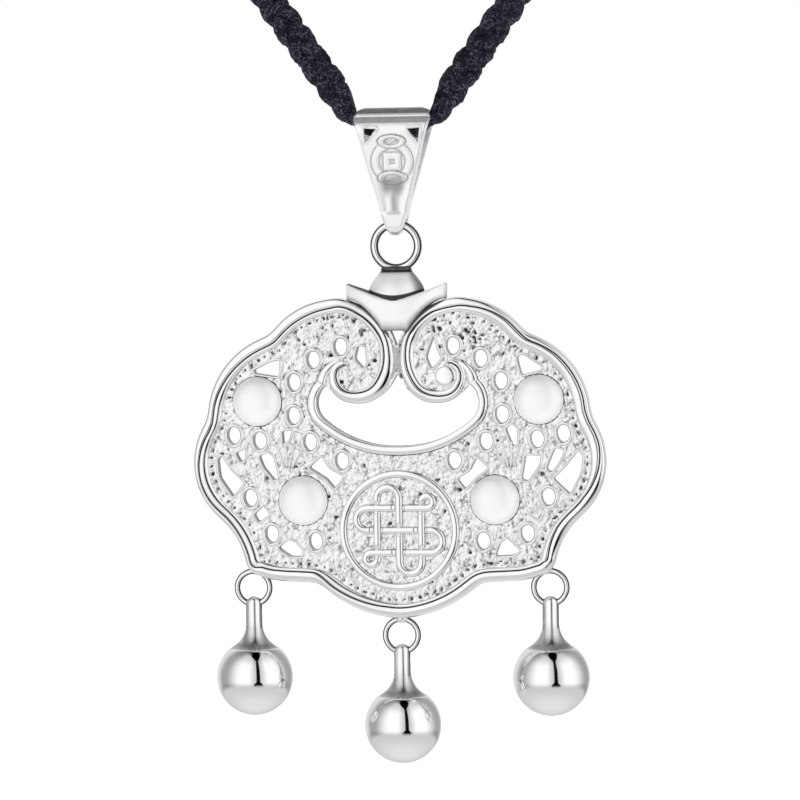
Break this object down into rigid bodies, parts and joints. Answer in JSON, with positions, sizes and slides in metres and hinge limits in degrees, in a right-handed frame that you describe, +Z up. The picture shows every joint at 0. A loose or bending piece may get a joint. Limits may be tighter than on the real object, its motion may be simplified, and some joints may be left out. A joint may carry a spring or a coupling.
{
  "type": "longevity lock pendant on a knotted cord",
  "caption": "Pierced silver longevity lock with scrolled rim, domes and ball drops, hung by a bail and ring from a knotted black neck cord.",
  "frame": {"origin": "the nape, under the middle of the sliding knot, where the cord rests on the neck", "axes": "+Z up, the lock hanging straight down; -Y towards the viewer of the lock's face; +X to that viewer's right"},
  "size_m": [0.147, 0.0078, 0.2127],
  "materials": {
    "silver": "polished silver, darkened in the recesses",
    "cord": "matte knotted thread"
  },
  "bodies": {
    "necklace": {"neck_cord": "cord", "cord_closure": "cord", "bail": "silver"},
    "lock": {"lock_body": "silver", "drop_left": "silver", "drop_middle": "silver", "drop_right": "silver"}
  },
  "joints": [
    {"name": "lock_swing", "type": "hinge", "parent": "necklace", "child": "lock", "pos_m": [0, 0, -0.151], "axis": [1, 0, 0], "range_deg": [-70, 70]}
  ]
}
